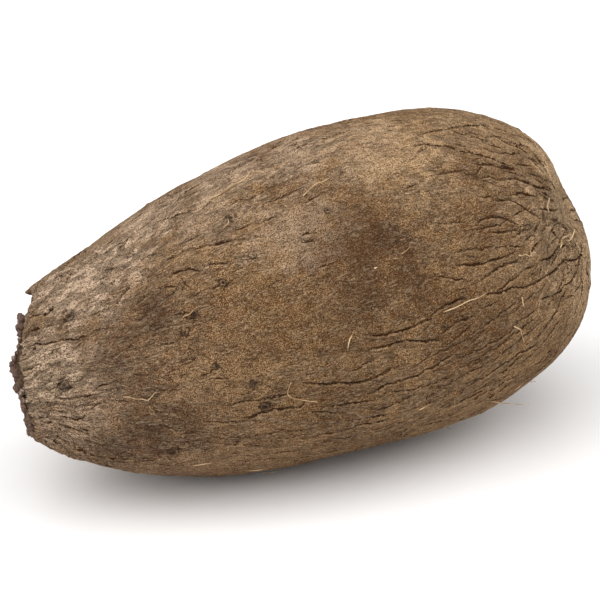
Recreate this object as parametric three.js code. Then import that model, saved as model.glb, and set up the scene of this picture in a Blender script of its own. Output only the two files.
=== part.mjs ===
// A yam: one stout, barrel-shaped tuber, as picked, lying on its underside. One end
// is the scar where it broke from its stem. The other is blunt and faintly two-lobed,
// with a pucker where the ridges of the skin meet.
//
// Millimetres, +Z up. The tuber's length runs along X, from the stem end at -X to the
// blunt end at +X. The origin is at the middle of its bounding box, at the bottom.
// It grew as one piece, so it is one closed solid.

import * as THREE from "three";

// Driving dimensions.
const LENGTH = 224; // from the stem scar to the blunt tip, along the tuber's own axis
const RADIUS = 62; // at the thickest ring
const REST_TILT_DEG = 8.5; // how far the axis rises towards the blunt end
const REST_FLAT_DEPTH = 1.4; // how much of the round underside the resting flat takes

// The outline from the middle of the stem scar to the blunt tip:
// [share of LENGTH along the axis, share of RADIUS out from it].
const OUTLINE = [
  [0.02, 0],
  [0.01, 0.17],
  [0.002, 0.31],
  [0.022, 0.425],
  [0.095, 0.585],
  [0.2, 0.765],
  [0.31, 0.888],
  [0.45, 0.965],
  [0.61, 1],
  [0.75, 0.965],
  [0.855, 0.85],
  [0.93, 0.67],
  [0.978, 0.4],
  [0.997, 0.15],
  [1, 0],
];

// The stem end: its middle sits above the axis, and its face is skew to the axis, so
// that it faces a little up and to the back.
const STEM_LIFT = 9;
const STEM_LEAN = 0.12; // how far the face sets back for each millimetre up
const STEM_TURN = 0.3; // how far the face sets back for each millimetre across
const STEM_REACH = 46; // how far along the tuber the lift and the lean fade out
const RIM_ROUGHNESS = 2.6; // how ragged the scar's rim is
const RIM_REACH = 9; // how far along the tuber the raggedness fades out

// The blunt end: the pucker, and the furrow that runs from it over the tip between an
// upper and a lower lobe. Places are measured from the stem end on the tuber's axis.
const PUCKER = new THREE.Vector3(199, -44, 19);
const PUCKER_DEPTH = 1.6;
const PUCKER_WIDTH = 8;
const FURROW_END = new THREE.Vector3(218, -8, 22);
const FURROW_DEPTH = 3;
const FURROW_WIDTH = 10;
const CORE = new THREE.Vector3(0.7 * LENGTH, 0, 0); // the hollows sink towards here

// Broad, shallow swellings round the tuber, each a wave in the radius:
// [share of the radius, waves round the tuber, waves along it, start in radians].
const SWELLINGS = [
  [0.014, 1, 1.35, 2],
  [0.012, 2, 0.9, 0.8],
  [0.009, 3, -1.7, 2.1],
  [0.006, 5, 2.6, 0.4],
];

// The ragged rim's waves: [share of the roughness, waves round the rim, start].
const RIM_WAVES = [
  [0.5, 4, 0.6],
  [0.35, 7, 2.4],
  [0.3, 13, 1.1],
];

// The mesh: rings from end to end, and points round each ring.
const RINGS = 44;
const POINTS_ROUND = 64;

// Fades from 1 at the stem end to 0 at the given distance along the tuber.
function fadeFromStem(x, reach) {
  return 1 - THREE.MathUtils.smoothstep(x, 0, reach);
}

// The radius at a place on the tuber, as a share of the plain outline's radius.
function swelling(x, angle) {
  const along = (x / LENGTH) * Math.PI * 2;
  return SWELLINGS.reduce(
    (sum, [size, round, length, start]) =>
      sum + size * Math.sin(round * angle + length * along + start),
    1,
  );
}

// How far the scar's rim steps in or out at this angle.
function rimStep(angle) {
  return RIM_WAVES.reduce(
    (sum, [size, round, start]) => sum + size * Math.sin(round * angle + start),
    0,
  );
}

// A rounded hollow: full depth at its middle, fading out over its width.
function hollow(distance, width, depth) {
  return depth * Math.exp(-((distance / width) ** 2));
}

// Sinks the pucker and the furrow into the blunt end.
function sinkHollows(point) {
  const onFurrow = new THREE.Vector3();
  new THREE.Line3(PUCKER, FURROW_END).closestPointToPoint(point, true, onFurrow);
  const depth =
    hollow(point.distanceTo(PUCKER), PUCKER_WIDTH, PUCKER_DEPTH) +
    hollow(point.distanceTo(onFurrow), FURROW_WIDTH, FURROW_DEPTH);
  const inwards = CORE.clone().sub(point).normalize();
  point.addScaledVector(inwards, depth);
}

// The skin as a closed geometry: a sphere with its poles at the two ends, whose rings
// are moved out to the outline and then shaped.
function tuberGeometry() {
  const outline = new THREE.SplineCurve(
    OUTLINE.map(([along, out]) => new THREE.Vector2(along * LENGTH, out * RADIUS)),
  );
  const geometry = new THREE.SphereGeometry(1, POINTS_ROUND, RINGS);
  geometry.rotateZ(Math.PI / 2); // takes the poles to the X axis
  const position = geometry.getAttribute("position");
  const point = new THREE.Vector3();
  for (let i = 0; i < position.count; i++) {
    point.fromBufferAttribute(position, i).normalize();
    const fromStem = Math.acos(THREE.MathUtils.clamp(-point.x, -1, 1)) / Math.PI;
    const angle = Math.atan2(point.z, point.y);
    const ring = outline.getPointAt(fromStem);
    const radius = ring.y * swelling(ring.x, angle);
    const nearStem = fadeFromStem(ring.x, STEM_REACH);
    const nearRim = fadeFromStem(ring.x, RIM_REACH) * (ring.y / RADIUS);
    point.y = radius * Math.cos(angle);
    point.z = radius * Math.sin(angle);
    point.x = ring.x + nearStem * (STEM_LEAN * point.z + STEM_TURN * point.y);
    point.x += RIM_ROUGHNESS * nearRim * rimStep(angle);
    point.z += STEM_LIFT * nearStem;
    sinkHollows(point);
    position.setXYZ(i, point.x, point.y, point.z);
  }
  return geometry;
}

// Lays the tuber down: tilts it, flattens its underside at z = 0 and centres it.
function layDown(geometry) {
  geometry.rotateY(THREE.MathUtils.degToRad(-REST_TILT_DEG));
  geometry.computeBoundingBox();
  geometry.translate(0, 0, -geometry.boundingBox.min.z - REST_FLAT_DEPTH);
  const position = geometry.getAttribute("position");
  for (let i = 0; i < position.count; i++) {
    position.setZ(i, Math.max(position.getZ(i), 0));
  }
  geometry.computeBoundingBox();
  const middle = geometry.boundingBox.getCenter(new THREE.Vector3());
  geometry.translate(-middle.x, -middle.y, 0);
  geometry.computeVertexNormals();
  return geometry;
}

const skin = new THREE.MeshStandardMaterial({
  color: new THREE.Color().setRGB(0.48, 0.39, 0.295, THREE.SRGBColorSpace),
  roughness: 0.85,
  metalness: 0,
});

const yam = new THREE.Mesh(layDown(tuberGeometry()), skin);
yam.name = "yam";

const part = new THREE.Group();
part.add(yam);

export default part;
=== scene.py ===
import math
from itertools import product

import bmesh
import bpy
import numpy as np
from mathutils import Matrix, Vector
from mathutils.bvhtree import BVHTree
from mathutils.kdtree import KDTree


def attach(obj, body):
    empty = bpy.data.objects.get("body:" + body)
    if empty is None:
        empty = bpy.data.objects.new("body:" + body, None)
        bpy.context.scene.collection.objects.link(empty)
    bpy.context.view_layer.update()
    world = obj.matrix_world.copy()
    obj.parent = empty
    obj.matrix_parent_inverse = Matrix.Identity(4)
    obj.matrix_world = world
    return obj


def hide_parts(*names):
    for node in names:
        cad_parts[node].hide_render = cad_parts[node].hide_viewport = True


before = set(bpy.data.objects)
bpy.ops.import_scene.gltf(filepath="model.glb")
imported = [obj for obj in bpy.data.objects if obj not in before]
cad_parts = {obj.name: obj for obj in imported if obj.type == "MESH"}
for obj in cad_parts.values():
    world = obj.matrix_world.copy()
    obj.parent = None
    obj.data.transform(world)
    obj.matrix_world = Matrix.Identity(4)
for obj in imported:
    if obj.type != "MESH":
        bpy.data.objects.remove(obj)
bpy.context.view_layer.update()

# The looks of a yam: one stout tuber, as picked, lying on its underside. The CAD solid gives
# the smooth form. This script grows the skin on it: the wrinkles that run from the stem scar
# to the pucker at the blunt end, the cracks, root scars, root hairs and the torn stem scar.
#
# Sizes are millimetres and angles are degrees, unless a name says otherwise. A place on the
# tuber is written (along, round): along is the distance from the stem end on the tuber's own
# axis, and round is the angle about it, 0 on top, 90 on the near side (-Y), 180 underneath.

MM = 0.001
SEED = 406

# ---- Driving sizes ----

# The form, read from the CAD solid by casting rays outwards from a core line.
SCAR_FACING = 0.8     # faces turned this squarely to the stem are the stem scar
STEM_CORE = 42        # where the core line starts, measured from the stem end
BLUNT_CORE = 160      # where it ends
FORM_ROWS = 360       # rays from pole to pole
FORM_COLUMNS = 384    # rays round
FORM_SMOOTHING = 2.4  # evens out the CAD solid's facets
PUCKER = (206, 67)    # the knotted hollow at the blunt end
FLOW_END = (213, 54)  # the middle of the furrow beside it, where the skin's ridges end
FLOW_BEND_START = 85  # where the flow starts to turn towards it, in degrees from the stem pole

# The mesh: rows follow the skin's flow from the stem scar to the pucker.
ROW_SPACING = 2.2
COLUMNS = 384
MIN_COLUMN_SPACING = 0.42
FEWEST_COLUMNS = 24
REFINE_REACH = 0.8    # faces this near a crack are halved
REFINE_DEPTH = 0.5    # if the crack is at least this deep

# Cracks. The main ones are listed: (half width, depth, places along it ...).
CRACK_STEP = 0.3      # between a crack's points
CRACK_TAPER = 3       # how far from its ends it starts to narrow
MAIN_JAG = 0.5        # the main cracks step aside less, so that they stay in place
JAG_SCALES = [(6.5, 0.8), (2.8, 0.7), (1.3, 0.4)]   # (knot spacing, sideways step)
SNAP_REACH = 0.22     # corners this near a crack's line are moved onto it
MAIN_CRACKS = [
    # Over the blunt end, from the top down.
    (0.32, 0.9, (163, 14), (178, 11), (191, 10), (201, 13)),
    (0.18, 0.6, (200, 15), (206, 16), (214, 16)),
    (0.3, 0.8, (187, 18), (196, 18)),
    (0.36, 0.9, (196, 20), (201, 22), (205, 23), (207, 27)),
    (0.4, 1.0, (189, 27), (195, 28), (199, 27)),
    (0.36, 0.9, (200, 29), (206, 33)),
    (0.5, 1.2, (176, 31), (181, 32), (185, 32)),
    (0.46, 1.2, (184, 33), (192, 35), (193, 36)),
    (0.34, 0.9, (194, 33), (200, 34)),
    (0.4, 1.0, (160, 33), (164, 33), (172, 33)),
    (0.42, 1.1, (170, 35), (175, 35), (179, 33)),
    (0.18, 0.5, (144, 35), (151, 34)),
    (0.42, 1.1, (185, 39), (191, 40), (195, 42), (198, 44), (205, 46)),
    (0.3, 0.9, (197, 38), (202, 39), (206, 42)),
    (0.34, 1.1, (196, 45), (199, 49), (202, 50), (208, 51)),
    (0.3, 0.9, (184, 46), (189, 46), (195, 48)),
    (0.32, 1.0, (172, 44), (177, 45)),
    (0.32, 1.1, (177, 47), (183, 48), (188, 51), (195, 57)),
    (0.26, 0.9, (167, 53), (172, 52), (178, 53), (183, 57)),
    (0.24, 0.8, (170, 57), (177, 58), (182, 59)),
    (0.24, 0.8, (183, 58), (189, 58)),
    (0.16, 0.5, (182, 63), (188, 62)),
    (0.2, 0.6, (176, 63), (182, 65)),
    (0.28, 1.1, (154, 64), (161, 66), (178, 66)),
    (0.28, 0.9, (161, 71), (174, 69), (180, 70)),
    (0.22, 0.8, (179, 73), (187, 73)),
    (0.3, 1.0, (188, 72), (200, 71), (206, 71)),
    (0.28, 1.0, (162, 77), (173, 78), (185, 79), (200, 76), (216, 75)),
    (0.26, 0.8, (185, 86), (200, 86), (206, 84), (211, 80)),
    (0.16, 0.5, (196, 79), (201, 82), (205, 82)),
    (0.22, 0.7, (197, 92), (207, 91)),
    # Round the pucker.
    (0.28, 0.9, (194, 53), (200, 54), (208, 55)),
    (0.34, 1.1, (199, 57), (205, 60), (199, 63), (201, 66)),
    (0.22, 0.8, (206, 60), (211, 65), (211, 68)),
    (0.2, 0.7, (210, 59), (209, 61), (211, 63)),
    # Over the upper side.
    (0.36, 1.0, (69, 27), (74, 28), (80, 30), (84, 31)),
    (0.34, 0.9, (85, 27), (91, 27)),
    (0.28, 0.8, (65, 1), (69, 4), (75, 7)),
    (0.3, 0.9, (69, -10), (72, -7)),
    (0.28, 0.8, (67, 21), (71, 22)),
    (0.26, 0.7, (91, 16), (102, 16), (108, 16)),
    (0.3, 0.8, (100, 22), (111, 21)),
    (0.26, 0.7, (110, 28), (116, 27)),
    (0.28, 0.8, (93, 28), (99, 28)),
    (0.2, 0.6, (71, 36), (78, 39)),
    (0.3, 0.9, (58, 33), (64, 34), (69, 37)),
    (0.3, 0.8, (55, 37), (60, 39)),
    (0.24, 0.7, (104, 38), (109, 39)),
    (0.24, 0.7, (104, 41), (108, 42)),
    (0.24, 0.7, (69, 45), (73, 45)),
    (0.2, 0.6, (88, 52), (91, 51)),
    (0.22, 0.7, (105, 51), (110, 51)),
    # Along the near side.
    (0.22, 0.7, (145, 65), (156, 69)),
    (0.32, 1.0, (141, 78), (146, 76), (154, 75)),
    (0.28, 0.9, (117, 78), (126, 80), (141, 79)),
    (0.28, 1.0, (115, 83), (130, 84), (143, 88)),
    (0.32, 1.1, (90, 88), (98, 91), (113, 94), (125, 92)),
    (0.26, 0.9, (91, 100), (101, 104)),
    (0.26, 0.9, (107, 110), (121, 112)),
    # Round the stem end: the first two are torn open.
    (0.34, 1.3, (11, 10), (14, 14), (17, 18), (20, 17)),
    (0.4, 1.2, (10, 22), (13, 25)),
    (0.16, 0.5, (25, 6), (32, -4)),
    (0.16, 0.5, (29, 6), (34, 5)),
    (0.24, 0.8, (8, 36), (10, 35)),
    (0.22, 0.7, (8, 32), (14, 37), (22, 42), (26, 43)),
    (0.26, 0.8, (10, 71), (13, 75), (19, 74), (25, 75)),
    (0.2, 0.6, (9, 86), (16, 89), (20, 87)),
    (0.24, 0.7, (9, 93), (13, 96), (19, 101)),
    (0.34, 1.2, (8, 114), (12, 116), (17, 118), (24, 121), (32, 119)),
]

# Other cracks follow the flow in lanes. The lanes' starts and ends are shares of the flow.
LANE_SPACING = 5.6           # where the tuber is widest
LANE_START = 0.84            # on the near side, whose cracks are listed one by one
LANE_HEAD_START = 0.46       # how much earlier the lanes start elsewhere
LANE_NEAR_TURN = 45          # the turn, in degrees, at the middle of the near side
LANE_NEAR_REACH = (34, 50)   # how far from there the head start sets in, in degrees
LANE_ENDS = [0.96, 0.88, 0.93, 0.88]   # some lanes stop before the end as they close up
LANE_LENGTHS = (7, 18)       # of most of their cracks
LANE_LONGER = 40             # how much longer a few of them are, at most
LANE_BREAKS = (0.5, 6)       # between one crack and the next in a lane
LANE_WEAKEST = np.array([0.16, 0.4])    # half width and depth
LANE_STRONGER = np.array([0.13, 0.5])   # how much more the strongest cracks have
CRACK_GAP = 2.3              # the room that cracks leave between them
SHORTEST_CRACK = 3

# Short cracks. Their lengths, half widths and depths are drawn from ranges.
SHORT_CRACK_GAP = 1.5
STRAY_CRACKS = 220
STRAY_FLOWS = (0.13, 0.8)    # shares of the flow
STRAY_LENGTHS = (3, 9)
STRAY_WIDTHS = (0.14, 0.26)
STRAY_DEPTHS = (0.3, 0.7)
PLAIN_SKIN = (114, 56, 30)   # (along, round, radius): hardly any cracks here
NECK_CRACKS = 380            # close together, round the stem end
NECK_START = 0.09            # a share of the flow
NECK_REACH = 0.27            # how far along it they spread
NECK_LENGTHS = (2.5, 9)
NECK_WIDTHS = (0.1, 0.2)
NECK_DEPTHS = (0.3, 0.6)
PUCKER_CRACKS = 45           # at all angles round the pucker
PUCKER_LENGTHS = (2, 6)
PUCKER_DEPTHS = (0.5, 1.0)
PUCKER_REACH = 19
PUCKER_GAP = 1.6
PUCKER_EDGE = (4, 13)        # how far from its middle the pucker's knots start to fade, and end

# Root scars, listed: (along, round, radius). A root once came out of each.
ROOT_SCARS = [
    (38, -24, 1.7), (29, -5, 1.5), (51, 10, 1.3), (42, 12, 1.2), (23, 27, 1.9), (73, 45, 1.1),
    (86, 21, 1.5), (86, 39, 1.2), (56, 58, 1.3), (61, 52, 1.1), (6, 47, 1.5), (14, 66, 1.6),
    (76, 94, 1.7), (45, 114, 1.9), (63, 74, 0.9), (73, 84, 1.0), (116, 33, 1.0), (154, 74, 1.4),
    (145, 83, 1.0),
]
PLACED_SCAR_STRENGTHS = (0.7, 1)
MORE_ROOT_SCARS = 46
MORE_SCAR_RADII = (0.6, 1.6)
MORE_SCAR_STRENGTHS = (0.1, 0.6)

# Root hairs, listed: (radius, lift of the free end, places along it ...).
ROOT_HAIRS = [
    (0.3, 1.0, (83, 8), (92, 8), (101, 5)),
    (0.26, 0.8, (111, 25), (117, 23), (122, 23)),
    (0.26, 0.8, (81, 24), (83, 24), (84, 22)),
    (0.22, 0.5, (90, 36), (92, 38), (94, 39)),
    (0.26, 0.8, (57, 52), (61, 51)),
    (0.24, 0.7, (32, 78), (35, 82), (39, 84)),
    (0.22, 1.5, (39, 84), (42, 79)),
    (0.22, 1.2, (39, 84), (39, 88), (40, 91)),
    (0.26, 1.0, (85, 87), (83, 91), (88, 94), (93, 97)),
    (0.28, 2.0, (110, 76), (108, 78), (107, 80)),
    (0.24, 1.2, (145, 78), (155, 77), (162, 76)),
    (0.26, 1.0, (173, 92), (175, 94), (177, 100)),
    (0.3, 0.8, (179, 67), (184, 69)),
    (0.26, 2.0, (184, 69), (184, 65)),
    (0.26, 1.6, (202, 50), (199, 53), (198, 56)),
    (0.32, 1.4, (201, 71), (203, 68), (206, 67)),
    (0.32, 1.6, (206, 70), (208, 69), (211, 66)),
    (0.26, 1.2, (135, 55), (139, 54)),
    (0.3, 0.3, (132, 56), (133, 56)),
    (0.3, 0.3, (124, 57), (125, 57)),
    (0.26, 1.4, (177, 82), (177, 86)),
    (0.26, 1.0, (134, 115), (138, 112)),
    (0.22, 7.0, (166, 128), (174, 133), (183, 135)),
]
MORE_ROOT_HAIRS = 60   # tried on the far side, and left out where it is lowest
FAR_SIDE = (115, 325)  # degrees round
LOWEST_HAIR = 6        # above what the yam lies on
HAIR_RADII = (0.12, 0.24)
HAIR_LENGTHS = (1.5, 6)
HAIR_LIFTS = (0.2, 1.6)
HAIR_LONGER = 8        # how much longer a few of them are, at most
HAIR_SIDES = 6
HAIR_STEPS = 14

# Patches of tone, listed: (along, round, radius, strength).
DARK_PATCHES = [
    (11, 23, 3, 1.0), (39, 102, 9, 0.9), (49, 45, 8, 1.0), (41, 50, 6, 0.6), (30, 62, 7, 0.7),
    (24, 113, 8, 0.9), (51, 97, 7, 0.8), (52, 108, 6, 0.5), (135, 49, 7, 0.8), (81, 22, 8, 0.45),
    (35, 73, 10, 0.5), (112, 70, 6, 0.5), (122, 66, 5, 0.6), (35, 54, 8, 0.4), (112, 61, 6, 0.5),
    (121, 50, 10, 0.4),
]
DEEP_PATCHES = [
    (122, 52, 22, 0.9), (112, 66, 20, 0.6), (132, 46, 12, 0.6), (103, 95, 18, 0.4),
    (118, 135, 18, 0.6), (181, 35, 14, 0.35), (174, 58, 16, 0.35), (176, 83, 16, 0.2),
    (154, 92, 18, 0.4), (54, 96, 14, 0.3), (35, 98, 15, 0.6), (81, 106, 16, 0.3),
    (112, 62, 24, 0.3),
]
# Pale patches: pale skin, and at the blunt end, on the right rim and at the stem scar's rim also
# painted light that lifts the shade there.
PALE_AND_PAINTED_LIGHT_PATCHES = [
    (27, 11, 17, 1.0), (44, 5, 15, 0.9), (63, -4, 16, 0.8), (92, -5, 17, 0.7), (121, 2, 17, 0.65),
    (148, 4, 16, 0.65), (158, 21, 16, 0.45), (156, 36, 14, 0.3), (103, 34, 16, 0.4),
    (9, 58, 18, 0.95), (12, 91, 16, 0.6), (22, 74, 12, 0.5), (9, 40, 11, 1.0), (206, 58, 15, 1.0),
    (211, 34, 12, 1.0), (216, 58, 11, 1.0), (214, 80, 14, 1.0), (208, 97, 12, 0.6),
    (210, 20, 12, 0.6), (80, 14, 16, 0.5), (140, 20, 14, 0.5), (190, 12, 24, 0.4),
    (216, 96, 18, 0.4), (208, 62, 30, 0.6),
]

# Crinkled patches of skin on the near side, listed: (along, round, radius, strength).
CRINKLED_PATCHES = [
    (42, 20, 22, 1.0), (70, 6, 18, 0.9), (12, 52, 26, 1.0), (14, 120, 24, 1.0), (10, 0, 24, 0.8),
    (50, 45, 15, 0.9), (78, 25, 12, 0.8), (100, 4, 16, 0.9), (133, 3, 14, 0.6), (179, 9, 14, 0.5),
    (74, 98, 18, 0.8), (103, 102, 20, 0.8), (128, 82, 14, 0.5), (40, 100, 14, 0.8),
    (198, 58, 20, 0.7), (160, 108, 26, 0.6), (130, 118, 30, 0.9), (185, 95, 24, 0.4),
]

# Where the skin stands out from the CAD solid, or sinks in: (along, round, radius, height).
SWELLINGS = [(30, 118, 20, 3.0), (14, 92, 10, 0.8), (206, 12, 24, 1.3), (215, 54, 11, -2.4),
             (217, 62, 9, -1.3), (198, 112, 18, 1.2), (9, 112, 7, -1.8)]

# The stem scar.
RIM_FACING = -0.84    # the rim is where the form turns away from the stem by this much
RIM_WAVES = 9
OVERHANG = (102, 24, 2.2)   # the skin reaches in over the rim: (degrees round, reach, how far)
NOTCH = (-30, 28, 6.0)   # a bay torn out of the rim: (degrees round, reach in degrees, depth)
NOTCH_REACH = 8          # how far outside the rim it goes
RIM_TEARS = [            # (degrees round, how far outside the rim, how far it sticks out, reach)
    (-32, 8.8, 2.4, 2.4),
    (52, 0.5, 0.8, 3.0),
    (120, 0.5, 0.8, 5.0),
]

# The crust inside the rim, and dark dried lumps on it.
CRUST = [                # (degrees round, how far it stands out, reach in degrees)
    (54, 2.6, 16), (76, 1.8, 8), (96, 1.6, 16), (200, 1.8, 40), (290, 1.4, 24),
]
CRUST_PLACE = 3.0        # how far inside the rim
SCABS = [                # (degrees round, distance inside the rim, how far it stands out, size)
    (4, 0.2, -0.6, 1.3), (9, -0.2, -0.4, 1.8), (15, 0.0, -0.1, 1.8), (20, 0.5, 0.0, 1.2),
    (27, 0.8, 0.1, 0.8), (33, 1.2, 0.5, 0.9), (39, 1.8, 1.2, 0.9), (43, 2.6, 2.0, 1.1),
    (48, 3.4, 2.6, 1.2), (53, 3.4, 2.0, 1.6), (57, 3.0, 1.6, 1.5), (63, 3.0, 1.8, 1.0),
    (71, 2.8, 2.2, 1.4), (76, 2.2, 1.2, 1.4), (83, 1.8, 1.3, 1.0), (92, 1.8, 1.6, 1.2),
    (103, 1.3, 1.0, 1.0), (114, 1.0, 0.6, 1.2), (160, 3.0, 0.2, 1.5), (205, 1.5, 0.3, 1.5),
    (228, 3.0, 0.5, 1.1), (262, 1.5, 0.3, 1.9), (318, 2.5, 0.3, 1.3),
]

# The studio. A lamp is (name, azimuth, elevation, strength, spread).
CAMERA_AZIMUTH = -22
CAMERA_ELEVATION = 25
CAMERA_LENS = 100
CAMERA_DISTANCE = 0.6334
CAMERA_AIM = (-0.0005, 0.0002, 0.0595)
LAMPS = [
    ("key", -50, 68, 2.54, 76),
    ("left", -85, 30, 1.5, 60),
    ("right", 75, 32, 1.4, 60),
]
WORLD_LIGHT = 0.22
FLOOR_COLOUR = (0.9, 0.89, 0.885, 1)
FLOOR_GLOW = 0.01
FLOOR_REACH = 4       # metres, from its middle to each side
FLOOR_GAP = 0.2       # how far it lies under the yam, so that the two don't touch


def srgb(red, green, blue):
    """A colour written as 0 to 255 sRGB, as the linear colour that Blender's sockets take."""
    def linear(level):
        level /= 255
        return level / 12.92 if level <= 0.04045 else ((level + 0.055) / 1.055) ** 2.4
    return (linear(red), linear(green), linear(blue), 1)


# ---- Numbers: easing and noise ----

def ease(value, start, end):
    """0 before start, 1 after end (either may be the larger), and smooth between."""
    part = np.clip((value - start) / (end - start), 0, 1)
    return part * part * (3 - 2 * part)


def noise(points, seed):
    """Smooth gradient noise at each row of an (n, 3) array: about -1 to 1, one bump a unit."""
    cell = np.floor(points).astype(np.int64)
    part = points - cell
    weight = part ** 3 * (part * (part * 6 - 15) + 10)
    total = np.zeros(len(points))
    for corner in product((0, 1), repeat=3):
        corner = np.array(corner)
        x, y, z = (cell + corner).T
        key = (x * 374761393 + y * 668265263 + z * 1440662683 + seed * 974634777) & 0xFFFFFFFF
        key = ((key ^ (key >> 13)) * 1274126177) & 0xFFFFFFFF
        key ^= key >> 16
        slope = np.stack([(key >> shift) & 1023 for shift in (0, 10, 20)], axis=1) / 511.5 - 1
        share = np.prod(np.where(corner == 1, weight, 1 - weight), axis=1)
        total += share * np.sum(slope * (part - corner), axis=1)
    return total * 1.6


def layered_noise(points, seed, layers=3, gain=0.5):
    """Noise with finer and fainter copies of itself added."""
    return sum(gain ** i * noise(points * 2 ** i, seed + 31 * i) for i in range(layers))


def ridged_noise(points, seed):
    """Noise folded into sharp ridges: 1 on a ridge line, falling to about 0 between them."""
    return 1 - np.minimum(np.abs(noise(points, seed)) * 2.4, 1)


def travelled(points):
    """How far each point of a line is from the line's start, along it."""
    return np.concatenate([[0], np.cumsum(np.linalg.norm(np.diff(points, axis=0), axis=1))])


def finder_of(points):
    """A search tree that finds the nearest of these points."""
    finder = KDTree(len(points))
    for index, point in enumerate(points):
        finder.insert(point, index)
    finder.balance()
    return finder


def normalised(vectors):
    return vectors / np.linalg.norm(vectors, axis=-1, keepdims=True)


def bump_at(distance, width):
    """1 where the distance is 0, falling off smoothly over the width."""
    return np.exp(-((distance / width) ** 2))


def angle_between(turn, other):
    return np.abs((turn - other + math.pi) % math.tau - math.pi)


def unit_vector(angle):
    return np.array([math.cos(angle), math.sin(angle)])


# ---- The form under the skin ----

def ring_radii(table):
    """The radius of a circle as long as each ring of a table of points."""
    return np.linalg.norm(np.roll(table, -1, axis=1) - table, axis=2).sum(axis=1) / math.tau


def over_poles(table, reach):
    """The table with rows added at its ends: those that come next, past the poles."""
    half = table.shape[1] // 2
    before = np.roll(table[1:reach + 1][::-1], half, axis=1)
    after = np.roll(table[-reach - 1:-1][::-1], half, axis=1)
    return np.concatenate([before, table, after])


class Form:
    """The CAD solid's smooth surface, with coordinates that follow the skin's flow.

    flow goes from 0 at the middle of the stem scar to 1 at FLOW_END, in equal steps of
    surface length; turn goes round, in radians. Positions are millimetres, in the frame.
    """

    def __init__(self, node):
        mesh = node.data
        mesh.calc_loop_triangles()
        corners = np.array([v.co for v in mesh.vertices]) / MM
        faces = np.array([t.vertices for t in mesh.loop_triangles])
        self._find_axes(corners, faces)
        self.tree = BVHTree.FromPolygons([tuple(c) for c in corners], faces.tolist())
        self._cast_rays()

    def _find_axes(self, corners, faces):
        """The tuber's own axis and its two ends, from how its surface is spread."""
        a, b, c = (corners[faces[:, i]] for i in range(3))
        area = np.linalg.norm(np.cross(b - a, c - a), axis=1)
        middles = (a + b + c) / 3
        centre = np.average(middles, axis=0, weights=area)
        spread = np.cov((middles - centre).T, aweights=area)
        along = np.linalg.eigh(spread)[1][:, -1]
        self.along = along * np.sign(along[0])
        self.up = normalised(np.array([0, 0, 1]) - self.along[2] * self.along)
        self.near = np.cross(self.along, self.up)
        places = (corners - centre) @ self.along
        self.length = np.ptp(places)
        self.start = centre + places.min() * self.along
        facing_back = -np.cross(b - a, c - a) @ self.along / area
        scar = facing_back > SCAR_FACING
        self.scar_middle = np.average(middles[scar], axis=0, weights=area[scar])

    def _cast_rays(self):
        """The form as a table of points, one row for each step from pole to pole."""
        stem_core = self.scar_middle + STEM_CORE * self.along
        blunt_core = self.start + BLUNT_CORE * self.along
        to_end = normalised(self.place_on_skin(*FLOW_END) - blunt_core)
        bend = math.acos(to_end @ self.along)
        aside = normalised(to_end - (to_end @ self.along) * self.along)
        across = np.cross(self.along, aside)
        first_turn = math.atan2(self.up @ across, self.up @ aside)

        table = np.zeros((FORM_ROWS + 1, FORM_COLUMNS, 3))
        for row in range(FORM_ROWS + 1):
            from_stem = math.pi * row / FORM_ROWS
            origin = stem_core + (1 - math.cos(from_stem)) / 2 * (blunt_core - stem_core)
            lean = bend * ease(math.degrees(from_stem), FLOW_BEND_START, 180)
            pole = math.cos(lean) * self.along + math.sin(lean) * aside
            side = -math.sin(lean) * self.along + math.cos(lean) * aside
            for column in range(FORM_COLUMNS):
                turn = math.tau * column / FORM_COLUMNS + first_turn
                ray = -math.cos(from_stem) * pole + math.sin(from_stem) * (
                    math.cos(turn) * side + math.sin(turn) * across
                )
                table[row, column] = self.tree.ray_cast(Vector(origin), Vector(ray))[0]
        self.table = self._smoothed(self._evenly_spaced(table))
        self.row_length = self._column_lengths(self.table).mean()
        self.ring_radius = ring_radii(self.table)
        self.normals = self._table_normals()
        self.finder = finder_of(self.table.reshape(-1, 3))

    @staticmethod
    def _column_lengths(table):
        return np.linalg.norm(np.diff(table, axis=0), axis=2).sum(axis=0)

    @staticmethod
    def _evenly_spaced(table):
        """Moves each column's points along it until they stand in equal steps."""
        even = np.empty_like(table)
        shares = np.linspace(0, 1, len(table))
        for column in range(table.shape[1]):
            points = table[:, column]
            reached = travelled(points)
            for axis in range(3):
                even[:, column, axis] = np.interp(shares * reached[-1], reached, points[:, axis])
        return even

    def _smoothed(self, table):
        """Blurs the table by FORM_SMOOTHING, going over the poles to the other side."""
        rows = len(table)
        step = self._column_lengths(table).mean() / rows
        reach = int(3 * FORM_SMOOTHING / step)
        weights = np.exp(-0.5 * (np.arange(-reach, reach + 1) * step / FORM_SMOOTHING) ** 2)
        weights /= weights.sum()
        for _ in range(2):
            tall = over_poles(table, reach)
            table = sum(w * tall[i:i + rows] for i, w in enumerate(weights))
            table = self._smoothed_round(table)
        return table

    @staticmethod
    def _smoothed_round(table):
        """Blurs each ring by the same distance, with the ring's waves as its scale."""
        radius = np.maximum(ring_radii(table), 0.5)
        waves = np.fft.rfft(table, axis=1)
        count = np.arange(waves.shape[1])
        fade = np.exp(-0.5 * (count[None, :] * FORM_SMOOTHING / radius[:, None]) ** 2)
        return np.fft.irfft(waves * fade[:, :, None], n=table.shape[1], axis=1)

    def _table_normals(self):
        tall = over_poles(self.table, 1)
        down = tall[2:] - tall[:-2]
        round_step = np.roll(self.table, -1, axis=1) - np.roll(self.table, 1, axis=1)
        normals = np.cross(round_step, down)
        normals[0] = normals[1].mean(axis=0)
        normals[-1] = normals[-2].mean(axis=0)
        middle_ring = self.table[FORM_ROWS // 2]
        outwards = np.sign(normals[FORM_ROWS // 2, 0] @ (middle_ring[0] - middle_ring.mean(axis=0)))
        return outwards * normalised(normals)

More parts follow.
